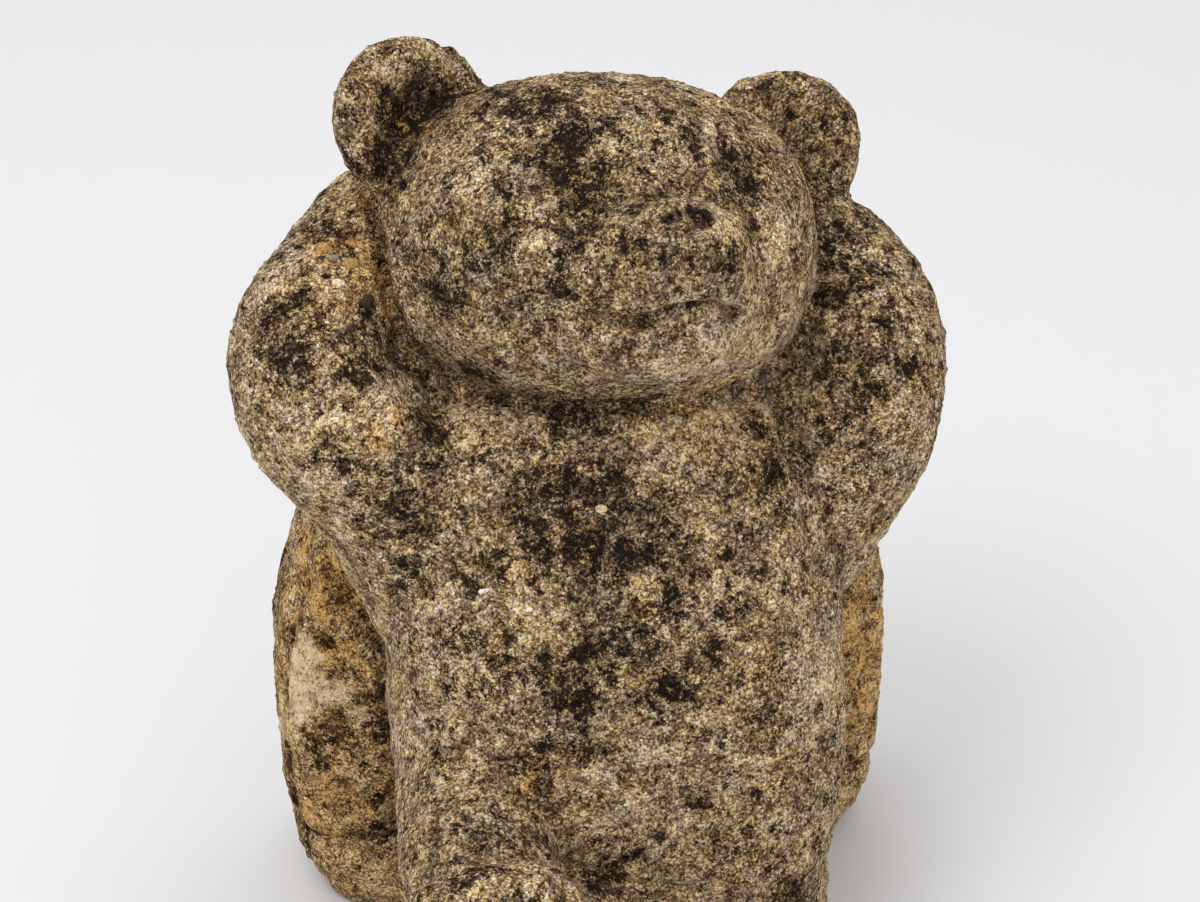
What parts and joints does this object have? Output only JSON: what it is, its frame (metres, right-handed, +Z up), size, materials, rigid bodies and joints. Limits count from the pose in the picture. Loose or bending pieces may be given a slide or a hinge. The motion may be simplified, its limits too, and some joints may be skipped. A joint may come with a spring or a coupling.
{
  "type": "stone teddy bear statue",
  "caption": "Cast stone garden figure of a teddy bear lounging against a stump, arms folded behind its head and legs stretched out.",
  "frame": {"origin": "on the flat underside, below the small of the bear's back", "axes": "+Z up, the bear faces -Y, +X to the right of someone who looks at its face"},
  "size_m": [0.2234, 0.2657, 0.2993],
  "materials": {
    "cast_stone": "weathered sandy cast stone, open grained, with dark lichen on its upper faces and ochre staining where it is sheltered"
  },
  "bodies": {
    "root": {"bear_statue": "cast_stone"}
  },
  "joints": []
}
